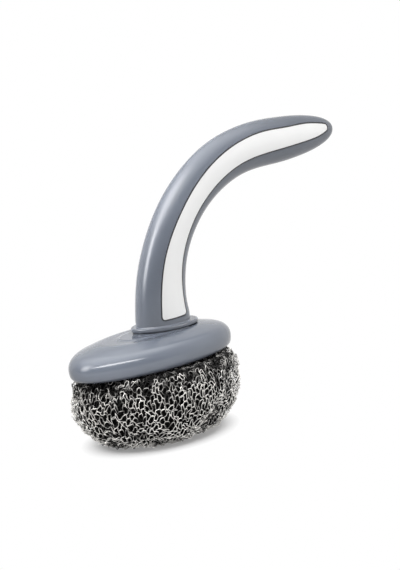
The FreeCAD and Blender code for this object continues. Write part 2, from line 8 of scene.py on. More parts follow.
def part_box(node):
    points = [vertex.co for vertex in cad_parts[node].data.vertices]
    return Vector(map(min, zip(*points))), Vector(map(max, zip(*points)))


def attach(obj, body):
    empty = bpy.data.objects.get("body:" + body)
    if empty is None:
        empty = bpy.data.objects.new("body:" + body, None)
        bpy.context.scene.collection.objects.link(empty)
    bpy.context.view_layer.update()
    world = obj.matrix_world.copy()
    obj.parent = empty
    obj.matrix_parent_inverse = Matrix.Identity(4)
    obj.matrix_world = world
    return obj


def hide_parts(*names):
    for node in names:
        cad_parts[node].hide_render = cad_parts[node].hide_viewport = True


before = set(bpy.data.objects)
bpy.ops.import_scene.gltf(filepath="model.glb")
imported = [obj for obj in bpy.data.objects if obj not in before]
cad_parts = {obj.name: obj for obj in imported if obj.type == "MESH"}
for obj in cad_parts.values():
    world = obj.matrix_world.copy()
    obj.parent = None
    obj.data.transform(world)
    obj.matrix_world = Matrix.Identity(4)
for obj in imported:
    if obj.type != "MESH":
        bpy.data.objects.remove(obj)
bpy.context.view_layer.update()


# Scouring pad: a full, crumpled bundle of knitted stainless wire, gathered round a core that stands for the
# deep wire: a near-black sheet of painted shade with painted glints.
# Each layer is one long drawn wire, looped in courses that wind round the pad from under the
# carrier to the middle of its foot. The carrier's posts and the clamp grip it from inside.

MM = 0.001
PAD_RING_HEIGHT = 23.5 * MM
PAD_ROUND_RISE = 26.5 * MM
PAD_FULLNESS = 2.3
PAD_TOP_FULLNESS = 2.7
PAD_END_LIFT = 3.5 * MM
PAD_END_SWELL = 4.5 * MM
LOOP_STAND = 1.2 * MM
WIRE_RADIUS = 0.20 * MM
OUTER_LOOPS = {"course": 2.0 * MM, "per_turn": 70.5, "inset": 1.0 * MM, "segments": 12}
INNER_LOOPS = {"course": 2.3 * MM, "per_turn": 62.5, "inset": 2.7 * MM, "segments": 9}
OUTER_WIRE_SIDES = 6
INNER_WIRE_SIDES = 4
WIRE_STARTS_AT = 0.45
LOOPS_LOST_FROM = 0.62
FEWEST_LOOPS = 0.12
LOOP_SWAY = 0.14
LOOP_CURL = 0.10
LOOP_REACH = 0.56
LOOP_LIFT = 0.26 * MM
LOOP_PULLED_OUT = 0.9 * MM
FINE_CRUMPLE = {"wavelength": 6 * MM, "amount": 0.55 * MM}
BROAD_CRUMPLE = {"wavelength": 15 * MM, "amount": 0.75 * MM}
CRUMPLE_WAVES = 12
RIM_SHADE_DEPTH = 13 * MM
PROUD_BY_LIFT = 0.5
PROUD_BY_SHOVE = 0.7
SUNK_FROM = 0.34
SUNK_RANGE = 1.3 * MM
CARRIER_CLEARANCE = 0.1 * MM
CORE_INSET = 4.2 * MM
CORE_STARTS_AT = 0.62
CORE_RINGS = 60
CORE_SIDES = 120
POCKET_MARGIN = 1 * MM
POCKET_RINGS = 8
POCKET_FLOOR_SHARES = (0.1, 0.6, 1)
FOOT_ENDS_AT = 0.04
CORNER_EASE = 12
MERIDIAN_STEPS = 1500
STEPS_PER_TURN = 400
MAP_ROW_SHARE = 0.35
STEEL_BRIGHT = (0.95, 0.93, 0.90, 1)
STEEL_TARNISHED = (0.68, 0.66, 0.63, 1)
# The darkest outer steel tone is painted shade, for low stretches of wire and those under the head's rim.
STEEL_PAINTED_SHADE = (0.022, 0.0215, 0.021, 1)
# The inner wire's tones are painted shade: a darkened copy of the steel for the deep layer.
STEEL_SHADED_INNER = (0.020, 0.0195, 0.019, 1)
STEEL_SHADED_DEEP = (0.006, 0.0059, 0.0057, 1)
STEEL_SHADED_DEEPEST = (0.003, 0.0029, 0.0028, 1)
# The core's tones are painted shade and painted glints.
CORE_PAINTED_SHADE = (0.002, 0.002, 0.002, 1)
CORE_PAINTED_GLINT = (0.008, 0.0078, 0.0076, 1)

pad_low, pad_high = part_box("scourer_pad")
pad_half_length = (pad_high.x - pad_low.x) / 2 + LOOP_STAND
pad_half_width = (pad_high.y - pad_low.y) / 2 + LOOP_STAND


def pad_side(height):
    """How wide the pad is at a height, as a share of its half sizes."""
    lean = np.abs(height - PAD_RING_HEIGHT) / PAD_ROUND_RISE
    fullness = np.where(height > PAD_RING_HEIGHT, PAD_TOP_FULLNESS, PAD_FULLNESS)
    return (1 - lean ** fullness) ** (1 / fullness)


def pad_meridian(inset, first_share, count):
    """Shares and heights down the pad, evenly spaced, from under the carrier to the foot's middle."""
    top_steps, side_steps, foot_steps = 90, 300, 160
    heights = np.linspace(pad_high.z - inset, pad_low.z + inset, side_steps)
    side = pad_side(heights)
    top = np.linspace(first_share, side[0], top_steps)
    foot = np.linspace(side[-1], FOOT_ENDS_AT, foot_steps)
    shares = np.concatenate([top, side, foot])
    heights = np.concatenate([np.full(top_steps, heights[0]), heights, np.full(foot_steps, heights[-1])])
    mean_half = (pad_half_length + pad_half_width) / 2 - inset
    run = np.concatenate([[0], np.cumsum(np.hypot(np.diff(shares) * mean_half, np.diff(heights)))])
    even = np.linspace(0, run[-1], count)
    reach = count // CORNER_EASE
    ease = np.hanning(2 * reach + 1)
    ease /= ease.sum()
    rounded = []
    for values in (shares, heights):
        values = np.pad(np.interp(even, run, values), reach, mode="reflect", reflect_type="odd")
        rounded.append(np.convolve(values, ease, "valid"))
    return rounded[0], rounded[1], run[-1]


def crumple(points, seed, wavelength, amount):
    """A smooth seeded wander: sine waves in many directions, so near wires move together."""
    chance = np.random.default_rng(seed)
    wander = np.zeros_like(points)
    for _ in range(CRUMPLE_WAVES):
        wave = chance.normal(size=3)
        wave *= 2 * np.pi / (np.linalg.norm(wave) * wavelength * chance.uniform(0.7, 1.4))
        start = chance.uniform(0, 6.3)
        wander += np.sin(points @ wave + start)[:, None] * chance.normal(size=3)
    return wander * amount / math.sqrt(CRUMPLE_WAVES)


def knit_wire(seed, turn, course, per_turn, inset, segments):
    """The path of one looped wire over the pad, its outward normals, and its painted shade, 0 to 1, darker
    where the wire lies low among its neighbours and under the head's rim.

    Every course round the pad has as many loops, and half a loop more, so its loops hang
    between those of the course before. Under the foot the courses lose loops as they close in.
    """
    shares, heights, length = pad_meridian(inset, WIRE_STARTS_AT, MERIDIAN_STEPS)
    station = np.linspace(0, 1, len(shares))
    turns = length / course
    half_x = pad_half_length - inset
    half_y = pad_half_width - inset

    rough = np.linspace(0, 1, int(turns * STEPS_PER_TURN))
    angle = 2 * np.pi * turns * rough
    oval = np.hypot(half_x * np.sin(angle), half_y * np.cos(angle))
    loops_kept = (np.interp(rough, station, shares) / LOOPS_LOST_FROM).clip(FEWEST_LOOPS, 1)
    gained = (oval * loops_kept)[1:] / oval.mean() * per_turn * np.diff(rough) * turns
    run = np.concatenate([[0], np.cumsum(gained)])
    loops = int(run[-1])
    count = loops * segments + 1
    phase = np.arange(count) / segments
    way = np.interp(phase, run, rough)

    share = np.interp(way, station, shares)
    angle = turn * 2 * np.pi * turns * way
    base = np.stack([share * half_x * np.cos(angle), share * half_y * np.sin(angle),
                     np.interp(way, station, heights)], 1)
    level = base[:, 2] / pad_high.z
    end = (base[:, 0] / half_x).clip(0, 1) ** 2
    base[:, 0] += PAD_END_SWELL * end * level ** 2
    base[:, 2] += PAD_END_LIFT * end * 4 * level * (1 - level)
    thread = np.gradient(base, axis=0)
    wale = np.linalg.norm(thread, axis=1) * segments
    thread /= np.linalg.norm(thread, axis=1)[:, None]
    slope = np.stack([np.interp(way, station, np.gradient(shares)),
                      np.interp(way, station, np.gradient(heights))], 1)
    down = np.stack([slope[:, 0] * half_x * np.cos(angle), slope[:, 0] * half_y * np.sin(angle),
                     slope[:, 1]], 1)
    outward = np.cross(down, thread) * turn
    outward /= np.linalg.norm(outward, axis=1)[:, None]
    fall = np.cross(outward, thread)

    chance = np.random.default_rng(seed)

    def each_loop(low, high):
        return np.interp(phase, np.arange(loops + 1), chance.uniform(low, high, loops + 1))

    turned = 2 * np.pi * phase
    sway = LOOP_SWAY * wale * each_loop(-1, 1)
    curl = LOOP_CURL * wale * each_loop(0.2, 1.6) * np.sin(2 * turned)
    reach = LOOP_REACH * course * each_loop(0.6, 1.45) * np.cos(turned)
    stand = each_loop(-1.4, 1.0).clip(0) * LOOP_PULLED_OUT * np.cos(turned).clip(0) ** 2
    lift = LOOP_LIFT * np.cos(turned) * each_loop(0.5, 1.5) + stand
    path = base + thread * (sway + curl)[:, None] + fall * reach[:, None] + outward * lift[:, None]
    shove = crumple(path, seed + 2, **FINE_CRUMPLE)
    proud = PROUD_BY_LIFT * lift + PROUD_BY_SHOVE * (shove * outward).sum(1)
    path += shove + crumple(path, seed + 1, **BROAD_CRUMPLE)
    # Painted shade: the wire is painted darker where it lies low among its neighbours and near the top,
    # under the head's rim, where shade falls.
    rim_shade = ((path[:, 2] - pad_high.z) / RIM_SHADE_DEPTH + 1).clip(0, 1) * each_loop(0.1, 1.4)
    buried = (SUNK_FROM - proud / SUNK_RANGE).clip(0, 1)
    painted_shade = 1 - (1 - buried) * (1 - rim_shade).clip(0, 1)
    path[:, 2] = path[:, 2].clip(pad_low.z + WIRE_RADIUS, pad_high.z - WIRE_RADIUS - CARRIER_CLEARANCE)
    return path, outward, painted_shade


def mesh_piece(name, points, faces):
    """A smooth-shaded mesh object in the scene."""
    mesh = bpy.data.meshes.new(name)
    mesh.from_pydata(points, [], faces)
    mesh.shade_smooth()
    piece = bpy.data.objects.new(name, mesh)
    bpy.context.scene.collection.objects.link(piece)
    return piece


def wire_piece(name, path, outward, painted_shade, sides):
    """A round wire along a path, with a map that lays its length out in rows, and its painted shade kept on
    its points.
    """
    thread = np.gradient(path, axis=0)
    thread /= np.linalg.norm(thread, axis=1)[:, None]
    beside = np.cross(thread, outward)
    beside /= np.linalg.norm(beside, axis=1)[:, None]
    above = np.cross(beside, thread)
    count = len(path)
    angle = np.arange(sides) * 2 * np.pi / sides
    ring = beside[:, None] * np.cos(angle)[None, :, None] + above[:, None] * np.sin(angle)[None, :, None]
    points = (path[:, None] + WIRE_RADIUS * ring).reshape(-1, 3)
    here = np.arange(count - 1)[:, None] * sides
    side = np.arange(sides)[None, :]
    after = (side + 1) % sides
    quads = np.stack([here + side, here + after, here + sides + after, here + sides + side], 2)
    ends = [list(range(sides))[::-1], list(range((count - 1) * sides, count * sides))]
    piece = mesh_piece(name, points, quads.reshape(-1, 4).tolist() + ends)
    rows = int(math.sqrt((count - 1) / sides * MAP_ROW_SHARE)) + 1
    columns = math.ceil((count - 1) / rows)
    row, column = np.divmod(np.arange(count - 1), columns)
    left = np.repeat(column / columns, sides)
    low = (row[:, None] + side / sides).ravel() / rows
    right = left + 1 / columns
    high = low + 1 / (rows * sides)
    corners = np.stack([left, low, left, high, right, high, right, low], 1).reshape(-1, 2)
    spot = np.zeros((2 * sides, 2))
    layer = piece.data.uv_layers.new(name="OFBake")
    layer.uv.foreach_set("vector", np.concatenate([corners, spot]).astype(np.float32).ravel())
    depth = piece.data.attributes.new("painted_shade", "FLOAT", "POINT")
    depth.data.foreach_set("value", np.repeat(painted_shade, sides).astype(np.float32))
    return piece


def ring_piece(name, rings, around):
    """A closed form through oval rings, each a half length, a half width and a height."""
    angle = np.arange(around) * 2 * np.pi / around
    points = [(half_x * math.cos(a), half_y * math.sin(a), z) for half_x, half_y, z in rings for a in angle]
    faces = []
    for ring in range(len(rings) - 1):
        for side in range(around):
            after = (side + 1) % around
            faces.append([ring * around + side, ring * around + after,
                          (ring + 1) * around + after, (ring + 1) * around + side])
    faces.append(list(range(around))[::-1])
    faces.append([(len(rings) - 1) * around + side for side in range(around)])
    return mesh_piece(name, points, faces)


def shader(tree, kind, inputs=None, **settings):
    """A shader node with its settings; an input is a value, or a socket to link."""
    made = tree.nodes.new("ShaderNode" + kind)
    for name, value in settings.items():
        setattr(made, name, value)
    for name, value in (inputs or {}).items():
        if isinstance(value, bpy.types.NodeSocket):
            tree.links.new(value, made.inputs[name])
        else:
            made.inputs[name].default_value = value
    return made


def new_finish(name):
    """A new material, its node tree and its Principled node."""
    material = bpy.data.materials.new(name)
    material.use_nodes = True
    return material, material.node_tree, material.node_tree.nodes["Principled BSDF"]


def between(tree, share, first, second):
    """A colour between two colours."""
    mix = shader(tree, "Mix", {0: share, 6: first, 7: second}, data_type="RGBA")
    return mix.outputs[2]


def spread(tree, value, low, high, to_low, to_high):
    """A value moved from one range to another."""
    return shader(tree, "MapRange", {"Value": value, "From Min": low, "From Max": high,
                                     "To Min": to_low, "To Max": to_high}).outputs["Result"]


def wear(piece, material):
    """The piece takes this material all over."""
    piece.data.materials.clear()
    piece.data.materials.append(material)


def drawn_skin():
    """Drawn stainless wire: patches of tarnish, painted shade where it is sunk or under the head's rim, and
    die streaks in its shine.
    """
    group = bpy.data.node_groups.new("drawn_skin", "ShaderNodeTree")
    for name in ("Tarnish", "Painted shade", "Streaks"):
        group.interface.new_socket(name, in_out="OUTPUT", socket_type="NodeSocketFloat")
    result = group.nodes.new("NodeGroupOutput").inputs
    place = shader(group, "TexCoord").outputs["Object"]
    patches = shader(group, "TexNoise", {"Vector": place, "Scale": 160, "Detail": 3})
    streaks = shader(group, "TexNoise", {"Vector": place, "Scale": 1400, "Detail": 2})
    painted_shade = shader(group, "Attribute", attribute_name="painted_shade")
    group.links.new(spread(group, patches.outputs["Fac"], 0.35, 0.7, 0, 1), result["Tarnish"])
    group.links.new(spread(group, painted_shade.outputs["Fac"], 0.25, 0.85, 0, 1), result["Painted shade"])
    group.links.new(spread(group, streaks.outputs["Fac"], 0.3, 0.7, 0.22, 0.38), result["Streaks"])
    return group


wire_skin = drawn_skin()


def drawn_wire(name, bright, tarnished, painted_shade, metal, shine):
    """A drawn wire's finish, from its brightest stretches to those in painted shade."""
    material, tree, surface = new_finish(name)
    skin = shader(tree, "Group", node_tree=wire_skin).outputs
    tone = between(tree, skin["Tarnish"], bright, tarnished)
    tree.links.new(between(tree, skin["Painted shade"], tone, painted_shade), surface.inputs["Base Color"])
    tree.links.new(skin["Streaks"], surface.inputs["Roughness"])
    surface.inputs["Metallic"].default_value = metal
    surface.inputs["Specular IOR Level"].default_value = shine
    return material


wire_steel = drawn_wire("wire_steel", STEEL_BRIGHT, STEEL_TARNISHED, STEEL_PAINTED_SHADE, metal=0.85, shine=0.5)
# The inner wire is a shaded copy of the steel, dark, not metallic and with little shine: painted shade for
# the deep layer.
wire_in_painted_shade = drawn_wire("wire_in_painted_shade", STEEL_SHADED_INNER, STEEL_SHADED_DEEP, STEEL_SHADED_DEEPEST, metal=0.0, shine=0.1)

# The core is a near-black sheet of painted shade with no shine, and painted glints along the edges of its
# cells.
painted_shade_core, tree, surface = new_finish("painted_shade_core")
place = shader(tree, "TexCoord").outputs["Object"]
cells = shader(tree, "TexVoronoi", {"Vector": place, "Scale": 420}, feature="DISTANCE_TO_EDGE")
painted_glints_and_ridges = spread(tree, cells.outputs["Distance"], 0.0, 0.09, 1, 0)
tree.links.new(between(tree, painted_glints_and_ridges, CORE_PAINTED_SHADE, CORE_PAINTED_GLINT), surface.inputs["Base Color"])
bump = shader(tree, "Bump", {"Height": painted_glints_and_ridges, "Strength": 0.6, "Distance": 0.5 * MM})
tree.links.new(bump.outputs["Normal"], surface.inputs["Normal"])
tree.links.new(spread(tree, painted_glints_and_ridges, 0, 1, 0.9, 0.6), surface.inputs["Roughness"])
surface.inputs["Specular IOR Level"].default_value = 0.0

clamp_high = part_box("pad_clamp")[1]
pocket_length = clamp_high.x + POCKET_MARGIN
pocket_width = clamp_high.y + POCKET_MARGIN
pocket_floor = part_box("clamp_screws")[0].z - POCKET_MARGIN
shares, heights, _ = pad_meridian(CORE_INSET, CORE_STARTS_AT, CORE_RINGS)
core_rings = [(pocket_length * share, pocket_width * share, pocket_floor)
              for share in POCKET_FLOOR_SHARES]
pocket_heights = np.linspace(pocket_floor, heights[0], POCKET_RINGS)
core_rings += [(pocket_length, pocket_width, z) for z in pocket_heights[1:]]
core_rings += [(share * (pad_half_length - CORE_INSET), share * (pad_half_width - CORE_INSET), z)
               for share, z in zip(shares, heights)]
pad_shade_core = ring_piece("pad_shade_core", core_rings, CORE_SIDES)
wear(pad_shade_core, painted_shade_core)

outer_wire = knit_wire(seed=7, turn=1, **OUTER_LOOPS)
inner_wire = knit_wire(seed=21, turn=-1, **INNER_LOOPS)
third = len(outer_wire[0]) // 3
pad_pieces = [pad_shade_core]
pad_pieces.append(wire_piece("knit_inner", *inner_wire, INNER_WIRE_SIDES))
for name, start, end in (("knit_upper", 0, third + 1), ("knit_middle", third, 2 * third + 1),
                         ("knit_lower", 2 * third, None)):
    stretch = [values[start:end] for values in outer_wire]
    pad_pieces.append(wire_piece(name, *stretch, OUTER_WIRE_SIDES))
wear(pad_pieces[1], wire_in_painted_shade)
for piece in pad_pieces[2:]:
    wear(piece, wire_steel)
for piece in pad_pieces:
    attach(piece, "scourer")
    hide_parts("scourer_pad")


# Pad carrier: a dark moulded plate with two posts, which the pad is gathered on.
# Its split pegs push into the head. The clamp bar is moulded in the same plastic, and
# two zinc-plated screws draw it up against the posts.

CARRIER_DARK = (0.030, 0.032, 0.036, 1)
CARRIER_PALE = (0.046, 0.049, 0.054, 1)
ZINC_BRIGHT = (0.66, 0.67, 0.68, 1)
ZINC_DULL = (0.45, 0.46, 0.47, 1)
EDGE_RADIUS = 0.8 * MM
GAP_REACH = 1.2 * MM
CORNER_LIGHTENS = 1.25
CORNER_SHARE = 0.5
# How dark the painted shade in narrow gaps is, as a share of the dark tone.
GAP_SHADE_TONE = 0.12
RELIEF_HEIGHT = 0.2 * MM


def product(tree, first, second):
    """Two values multiplied."""
    return shader(tree, "Math", {0: first, 1: second}, operation="MULTIPLY").outputs[0]


def moulded_skin():
    """A moulded plastic's surface: clouds of tone, faint rubbing, and a fine skin with slow ripples."""
    group = bpy.data.node_groups.new("moulded_skin", "ShaderNodeTree")
    for name, value in (("Grain", 2400.0), ("Ripple", 300.0), ("Cloud", 45.0), ("Grain share", 0.3)):
        socket = group.interface.new_socket(name, in_out="INPUT", socket_type="NodeSocketFloat")
        socket.default_value = value
    for name in ("Tone", "Rub", "Height"):
        group.interface.new_socket(name, in_out="OUTPUT", socket_type="NodeSocketFloat")
    given = group.nodes.new("NodeGroupInput").outputs
    result = group.nodes.new("NodeGroupOutput").inputs
    place = shader(group, "TexCoord").outputs["Object"]
    cloud = shader(group, "TexNoise", {"Vector": place, "Scale": given["Cloud"], "Detail": 4})
    ripple = shader(group, "TexNoise", {"Vector": place, "Scale": given["Ripple"], "Detail": 1})
    grain = shader(group, "TexNoise", {"Vector": place, "Scale": given["Grain"], "Detail": 2})
    stretch = shader(group, "Mapping", {"Vector": place, "Scale": (260, 900, 120),
                                        "Rotation": (0.5, 0.3, 0.7)})
    hairs = shader(group, "TexNoise", {"Vector": stretch.outputs["Vector"], "Scale": 1, "Detail": 5})
    rubbed = spread(group, hairs.outputs["Fac"], 0.6, 0.72, 0, 1)
    patch = spread(group, cloud.outputs["Fac"], 0.45, 0.65, 0, 1)
    height = shader(group, "Mix", {0: given["Grain share"], 2: ripple.outputs["Fac"],
                                   3: grain.outputs["Fac"]})
    group.links.new(spread(group, cloud.outputs["Fac"], 0.3, 0.7, 0, 1), result["Tone"])
    group.links.new(product(group, rubbed, patch), result["Rub"])
    group.links.new(height.outputs[0], result["Height"])
    return group


def worn_edge_and_gap_shade():
    """Masks of the corners that hands and cloths polish, and of the narrow gaps, where shade is painted in.
    """
    group = bpy.data.node_groups.new("worn_edge_and_gap_shade", "ShaderNodeTree")
    socket = group.interface.new_socket("Radius", in_out="INPUT", socket_type="NodeSocketFloat")
    socket.default_value = EDGE_RADIUS
    group.interface.new_socket("Edge", in_out="OUTPUT", socket_type="NodeSocketFloat")
    group.interface.new_socket("Gap shade", in_out="OUTPUT", socket_type="NodeSocketFloat")
    given = group.nodes.new("NodeGroupInput").outputs
    result = group.nodes.new("NodeGroupOutput").inputs
    eased = shader(group, "Bevel", {"Radius": given["Radius"]}, samples=6)
    flat = shader(group, "NewGeometry")
    agree = shader(group, "VectorMath", {0: eased.outputs["Normal"], 1: flat.outputs["Normal"]},
                   operation="DOT_PRODUCT")
    shelter = shader(group, "AmbientOcclusion", {"Distance": GAP_REACH}, samples=8)
    group.links.new(spread(group, agree.outputs["Value"], 0.97, 0.8, 0, 1), result["Edge"])
    group.links.new(spread(group, shelter.outputs["AO"], 0.15, 0.6, 1, 0), result["Gap shade"])
    return group


plastic_skin = moulded_skin()
edge_polish_and_gap_shade = worn_edge_and_gap_shade()


def plastic(name, dark, pale, rough, rubbed_rough, bump, ior, skin):
    """A moulded plastic in two tones, with a skin's bump, rubbing, lighter corners and painted shade in its
    narrow gaps.
    """
    material, tree, surface = new_finish(name)
    moulded = shader(tree, "Group", node_tree=plastic_skin)
    for socket, value in skin.items():
        moulded.inputs[socket].default_value = value
    corner = shader(tree, "Group", node_tree=edge_polish_and_gap_shade)
    tone = between(tree, moulded.outputs["Tone"], dark, pale)
    lighter = tuple(min(1, CORNER_LIGHTENS * part) for part in pale[:3]) + (1,)
    polished = between(tree, product(tree, corner.outputs["Edge"], CORNER_SHARE), tone, lighter)
    # Painted shade: narrow gaps and recesses are painted darker, by ambient occlusion.
    gap_shade = tuple(GAP_SHADE_TONE * part for part in dark[:3]) + (1,)
    tree.links.new(between(tree, corner.outputs["Gap shade"], polished, gap_shade), surface.inputs["Base Color"])
    gloss = spread(tree, moulded.outputs["Rub"], 0, 1, rough, rubbed_rough)
    tree.links.new(gloss, surface.inputs["Roughness"])
    relief = shader(tree, "Bump", {"Height": moulded.outputs["Height"], "Strength": bump,
                                   "Distance": RELIEF_HEIGHT})
    tree.links.new(relief.outputs["Normal"], surface.inputs["Normal"])
    surface.inputs["IOR"].default_value = ior
    return material


carrier_plastic = plastic("carrier_plastic", CARRIER_DARK, CARRIER_PALE, rough=0.42, rubbed_rough=0.55,
                          bump=0.35, ior=1.5, skin={"Grain": 2600, "Ripple": 500, "Grain share": 0.7})
for node in ("pad_carrier", "pad_clamp"):
    wear(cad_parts[node], carrier_plastic)

screw_zinc, tree, surface = new_finish("screw_zinc")
place = shader(tree, "TexCoord").outputs["Object"]
bloom = shader(tree, "TexNoise", {"Vector": place, "Scale": 900, "Detail": 4})
turning = shader(tree, "TexNoise", {"Vector": place, "Scale": 6000, "Detail": 2})
dull = spread(tree, bloom.outputs["Fac"], 0.35, 0.65, 0, 1)
tree.links.new(between(tree, dull, ZINC_BRIGHT, ZINC_DULL), surface.inputs["Base Color"])
tree.links.new(spread(tree, turning.outputs["Fac"], 0.3, 0.7, 0.25, 0.42), surface.inputs["Roughness"])
surface.inputs["Metallic"].default_value = 1
wear(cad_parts["clamp_screws"], screw_zinc)


# Head shell: the oval dome over the pad, moulded in glossy blue-grey plastic with a rolled rim.
# It slips over the carrier's split pegs, and the handle stands on the raised seat on its crown.

GREY_DEEP = (0.088, 0.099, 0.122, 1)
GREY_LIGHT = (0.097, 0.109, 0.134, 1)

grey_plastic = plastic("grey_plastic", GREY_DEEP, GREY_LIGHT, rough=0.12, rubbed_rough=0.16,
                       bump=0.008, ior=1.65, skin={"Grain": 3200, "Ripple": 260, "Grain share": 0.2})
wear(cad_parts["head_shell"], grey_plastic)


# Handle: a curved grip in the same grey plastic, hollow from side to side behind its inlays.
# Its flange seats on the head over a narrow groove, and its foot pegs drop through the crown,
# where two screws from below hold it.

handle_plastic = plastic("handle_plastic", GREY_DEEP, GREY_LIGHT, rough=0.21, rubbed_rough=0.27,
                         bump=0.006, ior=1.65, skin={"Grain": 3200, "Ripple": 240, "Grain share": 0.25})
wear(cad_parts["handle_body"], handle_plastic)
wear(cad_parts["handle_screws"], screw_zinc)


# Inlays: a satin white plastic panel in each side of the handle, following its curve.
# Each is pressed home on its pegs and sits flush in the frame, with a hairline gap all round.

WHITE_SOFT = (0.85, 0.85, 0.845, 1)
WHITE_CLEAR = (0.88, 0.88, 0.875, 1)

white_plastic = plastic("white_plastic", WHITE_SOFT, WHITE_CLEAR, rough=0.36, rubbed_rough=0.46,
                        bump=0.12, ior=1.45, skin={"Grain": 3600, "Ripple": 350, "Grain share": 0.7})
for node in ("left_inlay", "right_inlay"):
    wear(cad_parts[node], white_plastic)


# Gap shade strips: a fine dark bead laid in the gap round each inlay, level with the grip, a dark strip of
# painted shade that stands for the shade in the gap.
# It follows the edge of the inlay's outer face.

SHADE_STRIP_HALF_WIDTH = 0.38 * MM
SHADE_STRIP_RISE = 0.10 * MM
SHADE_STRIP_STEP = 0.6 * MM
SHADE_STRIP_SIDES = 8
SAME_SPOT = 0.001 * MM
FACE_TILT = 0.35
WALL_TILT = 0.3
SHADE_STRIP_DARK = (0.020, 0.021, 0.024, 1)
SHADE_STRIP_PALE = (0.032, 0.034, 0.038, 1)


def rim_of(node):
    """The edge of an inlay's outer face, in order round it, and the face's normals there."""
    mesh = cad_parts[node].data
    spots = np.empty(len(mesh.vertices) * 3)
    mesh.vertices.foreach_get("co", spots)
    spots = spots.reshape(-1, 3)
    outer = math.copysign(1, spots[:, 1].mean())
    _, first, same = np.unique(np.round(spots / SAME_SPOT), axis=0,
                               return_index=True, return_inverse=True)
    same = same.ravel()
    faces = {}
    for polygon in mesh.polygons:
        corners = [same[corner] for corner in polygon.vertices]
        for start, end in zip(corners, corners[1:] + corners[:1]):
            faces.setdefault((min(start, end), max(start, end)), []).append(polygon.normal)
    beside = {}
    facing = {}
    for (start, end), normals in faces.items():
        tilts = sorted(normal.y * outer for normal in normals)
        if len(tilts) == 2 and tilts[1] > FACE_TILT and abs(tilts[0]) < WALL_TILT:
            front = max(normals, key=lambda normal: normal.y * outer)
            for here, there in ((start, end), (end, start)):
                beside.setdefault(here, []).append(there)
                facing.setdefault(here, []).append(front)
    here = min(beside)
    order = [here]
    while True:
        onward = [there for there in beside[here] if there not in order[-2:]]
        if not onward or onward[0] == order[0] and len(order) > 2:
            break
        here = onward[0]
        order.append(here)
    normals = np.array([sum(facing[spot], Vector()).normalized() for spot in order])
    return spots[first[order]], normals


def shade_strip_piece(name, node):
    """A closed dark strip of painted shade along the rim of an inlay, with an oval section."""
    rim, facing = rim_of(node)
    closed = np.concatenate([rim, rim[:1]])
    run = np.concatenate([[0], np.cumsum(np.linalg.norm(np.diff(closed, axis=0), axis=1))])
    count = int(run[-1] / SHADE_STRIP_STEP)
    even = np.linspace(0, run[-1], count, endpoint=False)
    path = np.stack([np.interp(even, run, closed[:, axis]) for axis in range(3)], 1)
    facing = np.concatenate([facing, facing[:1]])
    outward = np.stack([np.interp(even, run, facing[:, axis]) for axis in range(3)], 1)
    outward /= np.linalg.norm(outward, axis=1)[:, None]
    along = np.roll(path, -1, axis=0) - np.roll(path, 1, axis=0)
    along /= np.linalg.norm(along, axis=1)[:, None]
    beside = np.cross(outward, along)
    points = []
    for angle in np.arange(SHADE_STRIP_SIDES) * 2 * math.pi / SHADE_STRIP_SIDES:
        across = beside * SHADE_STRIP_HALF_WIDTH * math.cos(angle)
        points.append(path + across + outward * SHADE_STRIP_RISE * math.sin(angle))
    points = np.stack(points, 1).reshape(-1, 3)
    faces = []
    for ring in range(count):
        here = ring * SHADE_STRIP_SIDES
        there = (ring + 1) % count * SHADE_STRIP_SIDES
        for side in range(SHADE_STRIP_SIDES):
            nearby = (side + 1) % SHADE_STRIP_SIDES
            faces.append([here + side, there + side, there + nearby, here + nearby])
    return mesh_piece(name, points, faces)


# The strips' dark tones are painted shade for the gap round each inlay.
shade_strip_finish = plastic("shade_strip_finish", SHADE_STRIP_DARK, SHADE_STRIP_PALE, rough=0.5, rubbed_rough=0.6,
                      bump=0.1, ior=1.45, skin={"Grain": 4000, "Ripple": 900, "Grain share": 0.6})
for name, node in (("left_shade_strip", "left_inlay"), ("right_shade_strip", "right_inlay")):
    shade_strip = shade_strip_piece(name, node)
    wear(shade_strip, shade_strip_finish)
    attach(shade_strip, "handle_and_head")


# Floor and surround: a white floor that keeps the contact shadow, in a white room.
# Neither belongs to the object.

FLOOR_HALF = 4
FLOOR_DROP = 0.02 * MM
FLOOR_WHITE = (0.80, 0.80, 0.80, 1)
FLOOR_GLOW = 0.22
SHADOW_STRETCH = (0.8, 1.0, 1.0)
SHADOW_FADES_FROM = 0.0285
SHADOW_FADES_TO = 0.039
PURE_WHITE = (1, 1, 1, 1)
ROOM_LIGHT = 0.25
ROOM_FRONT = (-0.72, -0.69, 0.0)
ROOM_TURNS_FROM = -0.15
ROOM_TURNS_TO = 0.45
ROOM_BACK_LEVEL = 1.0
ROOM_FRONT_LEVEL = 0.15


def larger(tree, first, second):
    """The larger of two values."""
    return shader(tree, "Math", {0: first, 1: second}, operation="MAXIMUM").outputs[0]


def seen_rays(tree):
    """Masks of the rays that carry what is seen, mirrored ones too, and of the straight ones alone."""
    rays = shader(tree, "LightPath").outputs
    straight = rays["Is Camera Ray"]
    seen = larger(tree, larger(tree, straight, rays["Is Glossy Ray"]), rays["Is Transmission Ray"])
    return seen, straight


floor_mesh = bpy.data.meshes.new("floor")
floor_corners = [(FLOOR_HALF * x, FLOOR_HALF * y, 0) for x, y in ((-1, -1), (1, -1), (1, 1), (-1, 1))]
floor_mesh.from_pydata(floor_corners, [], [(0, 1, 2, 3)])
floor = bpy.data.objects.new("floor", floor_mesh)
bpy.context.scene.collection.objects.link(floor)
floor.location.z = -FLOOR_DROP

